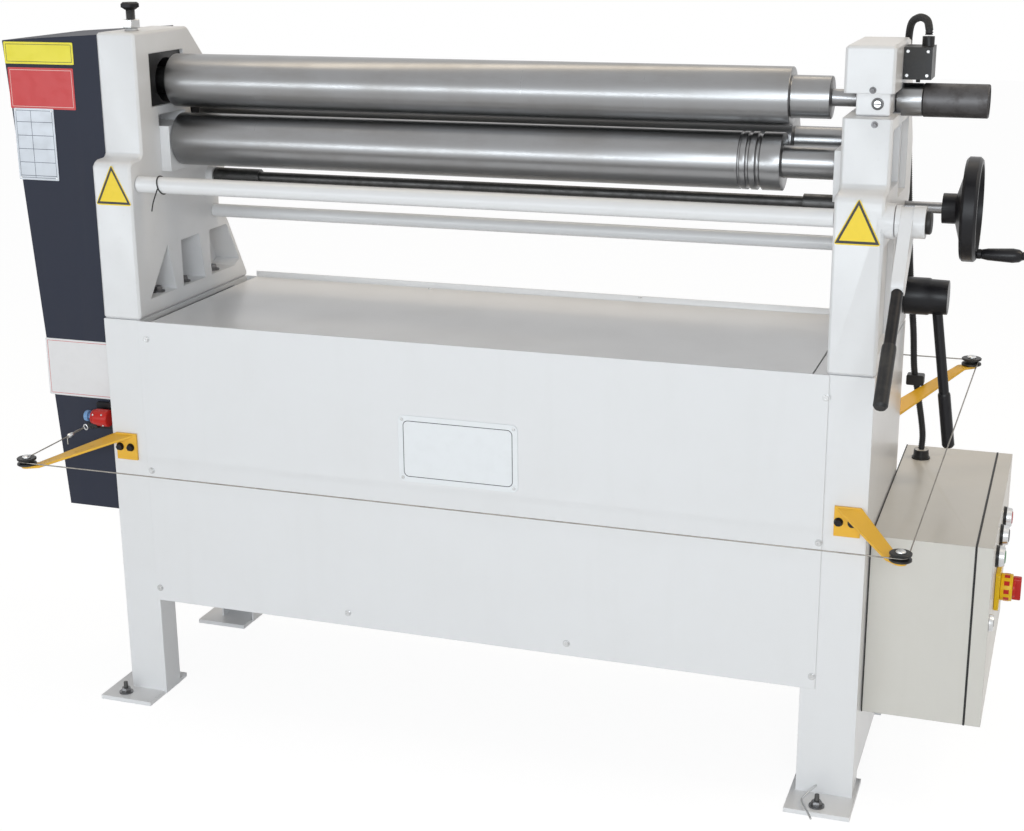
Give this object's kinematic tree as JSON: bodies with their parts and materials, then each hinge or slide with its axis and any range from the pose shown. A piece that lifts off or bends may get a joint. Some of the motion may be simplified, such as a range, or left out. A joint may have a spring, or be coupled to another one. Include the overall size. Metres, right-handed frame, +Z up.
{
  "type": "plate rolling machine",
  "caption": "Motor-driven pinch roll bender on a closed sheet-metal stand, with a swing-out top roll, handwheel for the rear roll, side control cabinet and trip wire.",
  "frame": {"origin": "centre of the bounding box's footprint, on the floor under the feet", "axes": "+X along the rolls towards the handwheel and control cabinet, +Y from the operator towards the back, +Z up"},
  "size_m": [1.7352, 0.7502, 1.2335],
  "materials": {
    "frame_paint": "smooth off-white machine paint",
    "cover_paint": "dark blue-grey paint",
    "cabinet_paint": "warm light grey powder coat",
    "ground_steel": "ground steel",
    "dark_steel": "dark oiled steel",
    "cast_black": "black painted casting",
    "black_plastic": "black plastic",
    "conduit_rubber": "black corrugated conduit",
    "zinc": "zinc plated steel",
    "bronze": "bronze",
    "safety_yellow": "yellow paint",
    "signal_red": "red plastic",
    "reset_blue": "blue plastic",
    "motor_grey": "grey paint on a cast motor"
  },
  "bodies": {
    "frame": {"left_side_casting": "frame_paint", "right_side_casting": "frame_paint", "pivot_housing": "cast_black", "adjusting_screw": "dark_steel", "gear_bush": "bronze", "drive_plate": "dark_steel", "gearmotor": "motor_grey", "gear_cover": "cover_paint", "left_stand_side": "frame_paint", "right_stand_side": "frame_paint", "front_panel": "frame_paint", "rear_panel": "frame_paint", "table_top": "frame_paint", "rear_tie_tube": "frame_paint", "control_box": "cabinet_paint", "switchgear": "black_plastic", "limit_switch": "black_plastic", "switch_conduit": "conduit_rubber", "trip_arm_1": "safety_yellow", "trip_arm_2": "safety_yellow", "trip_arm_3": "safety_yellow", "trip_arm_4": "safety_yellow", "trip_wire": "zinc", "rope_switch": "signal_red"},
    "top_swing": {"top_bearing_block": "frame_paint"},
    "top_roll": {"top_roll": "ground_steel", "pull_tube": "dark_steel"},
    "top_drive": {"top_gear": "dark_steel"},
    "motor_pinion": {"motor_pinion": "dark_steel"},
    "lower_slide": {"lower_left_block": "frame_paint", "lower_right_block": "frame_paint"},
    "lower_roll": {"lower_roll": "ground_steel", "lower_gear": "dark_steel"},
    "pinch_lever": {"pinch_shaft": "frame_paint", "pinch_lever": "frame_paint", "pinch_rod": "zinc", "pinch_grip": "black_plastic"},
    "rear_slide": {"rear_left_block": "frame_paint", "rear_right_block": "frame_paint"},
    "rear_roll": {"rear_roll": "ground_steel"},
    "right_nut": {"right_mitre_nut": "bronze"},
    "left_nut": {"left_mitre_nut": "bronze"},
    "cross_shaft": {"cross_shaft": "ground_steel"},
    "handwheel": {"handwheel_shaft": "ground_steel", "handwheel": "cast_black", "crank_pin": "zinc"},
    "crank_grip": {"crank_grip": "black_plastic"},
    "release_lever": {"release_lever": "black_plastic"},
    "box_door": {"box_door": "cabinet_paint", "switch_base": "safety_yellow"},
    "main_switch": {"main_switch": "signal_red"},
    "button_1": {"button_1": "black_plastic"},
    "button_2": {"button_2": "black_plastic"},
    "button_3": {"button_3": "signal_red"},
    "pulley_1": {"pulley_1": "black_plastic"},
    "pulley_2": {"pulley_2": "black_plastic"},
    "pulley_3": {"pulley_3": "black_plastic"},
    "pulley_4": {"pulley_4": "black_plastic"},
    "rope_knob": {"rope_reset_knob": "reset_blue"}
  },
  "joints": [
    {"name": "top_roll_swing", "type": "hinge", "parent": "frame", "child": "top_swing", "pos_m": [-0.63965, -0.02391, 1.1], "axis": [0, 0, -1], "range_deg": [0, 12]},
    {"name": "top_roll_spin", "type": "hinge", "parent": "top_swing", "child": "top_roll", "pos_m": [-0.63965, -0.02391, 1.1], "axis": [1, 0, 0], "continuous": true},
    {"name": "top_gear_spin", "type": "hinge", "parent": "frame", "child": "top_drive", "pos_m": [-0.63965, -0.02391, 1.1], "axis": [1, 0, 0], "continuous": true},
    {"name": "pinion_spin", "type": "hinge", "parent": "frame", "child": "motor_pinion", "pos_m": [-0.71765, 0.06669, 1.1], "axis": [1, 0, 0], "continuous": true},
    {"name": "lower_lift", "type": "slide", "parent": "frame", "child": "lower_slide", "axis": [0, 0, 1], "range_m": [0, 0.0095]},
    {"name": "lower_roll_spin", "type": "hinge", "parent": "lower_slide", "child": "lower_roll", "pos_m": [-0.01765, -0.02391, 1], "axis": [1, 0, 0], "continuous": true},
    {"name": "pinch_lever_turn", "type": "hinge", "parent": "frame", "child": "pinch_lever", "pos_m": [0.67235, -0.14891, 0.938], "axis": [-1, 0, 0], "range_deg": [0, 60]},
    {"name": "rear_lift", "type": "slide", "parent": "frame", "child": "rear_slide", "axis": [0, -0.2079, 0.9781], "range_m": [-0.022, 0.043]},
    {"name": "rear_roll_spin", "type": "hinge", "parent": "rear_slide", "child": "rear_roll", "pos_m": [-0.01765, 0.07426, 1.02171], "axis": [1, 0, 0], "continuous": true},
    {"name": "handwheel_turn", "type": "hinge", "parent": "frame", "child": "handwheel", "pos_m": [0.71235, 0.09609, 0.919], "axis": [1, 0, 0], "range_deg": [-1980, 3870]},
    {"name": "right_nut_turn", "type": "hinge", "parent": "frame", "child": "right_nut", "pos_m": [0.60485, 0.09609, 0.919], "axis": [0, -0.2079, 0.9781], "range_deg": [-3870, 1980]},
    {"name": "cross_shaft_turn", "type": "hinge", "parent": "frame", "child": "cross_shaft", "pos_m": [-0.01765, 0.09609, 0.919], "axis": [1, 0, 0], "range_deg": [-3870, 1980]},
    {"name": "left_nut_turn", "type": "hinge", "parent": "frame", "child": "left_nut", "pos_m": [-0.64015, 0.09609, 0.919], "axis": [0, -0.2079, 0.9781], "range_deg": [-1980, 3870]},
    {"name": "crank_grip_spin", "type": "hinge", "parent": "handwheel", "child": "crank_grip", "pos_m": [0.78235, 0.09609, 0.849], "axis": [1, 0, 0], "continuous": true},
    {"name": "release_lever_turn", "type": "hinge", "parent": "frame", "child": "release_lever", "pos_m": [0.64135, 0.16609, 0.76], "axis": [1, 0, 0], "range_deg": [-8, 25]},
    {"name": "box_door_swing", "type": "hinge", "parent": "frame", "child": "box_door", "pos_m": [0.80435, 0.37109, 0.29], "axis": [0, 0, 1], "range_deg": [0, 110]},
    {"name": "main_switch_turn", "type": "hinge", "parent": "box_door", "child": "main_switch", "pos_m": [0.82735, 0.04609, 0.312], "axis": [-1, 0, 0], "range_deg": [0, 90]},
    {"name": "button_1_press", "type": "slide", "parent": "box_door", "child": "button_1", "axis": [-1, 0, 0], "range_m": [0, 0.004], "stiffness_N_per_m": 400, "springref_m": -0.002},
    {"name": "button_2_press", "type": "slide", "parent": "box_door", "child": "button_2", "axis": [-1, 0, 0], "range_m": [0, 0.004], "stiffness_N_per_m": 400, "springref_m": -0.002},
    {"name": "button_3_press", "type": "slide", "parent": "box_door", "child": "button_3", "axis": [-1, 0, 0], "range_m": [0, 0.004], "stiffness_N_per_m": 400, "springref_m": -0.002},
    {"name": "pulley_1_spin", "type": "hinge", "parent": "frame", "child": "pulley_1", "pos_m": [-0.79265, -0.26891, 0.464], "axis": [0, 0, 1], "continuous": true},
    {"name": "pulley_2_spin", "type": "hinge", "parent": "frame", "child": "pulley_2", "pos_m": [0.70235, -0.26391, 0.464], "axis": [0, 0, 1], "continuous": true},
    {"name": "pulley_3_spin", "type": "hinge", "parent": "frame", "child": "pulley_3", "pos_m": [0.74735, 0.32609, 0.614], "axis": [0, 0, 1], "continuous": true},
    {"name": "pulley_4_spin", "type": "hinge", "parent": "frame", "child": "pulley_4", "pos_m": [-0.78265, 0.32609, 0.614], "axis": [0, 0, 1], "continuous": true},
    {"name": "rope_knob_press", "type": "slide", "parent": "frame", "child": "rope_knob", "axis": [1, 0, 0], "range_m": [0, 0.003], "stiffness_N_per_m": 400, "springref_m": -0.002}
  ],
  "couplings": [
    {"joint": "top_gear_spin", "follows": "top_roll_spin", "ratio": 1},
    {"joint": "pinion_spin", "follows": "top_roll_spin", "ratio": -1},
    {"joint": "lower_roll_spin", "follows": "top_roll_spin", "ratio": -1},
    {"joint": "lower_lift", "follows": "pinch_lever_turn", "m_per_rad": 0.00907},
    {"joint": "rear_lift", "follows": "handwheel_turn", "m_per_rad": 0.000636},
    {"joint": "right_nut_turn", "follows": "handwheel_turn", "ratio": -1},
    {"joint": "cross_shaft_turn", "follows": "handwheel_turn", "ratio": -1},
    {"joint": "left_nut_turn", "follows": "handwheel_turn", "ratio": 1}
  ]
}
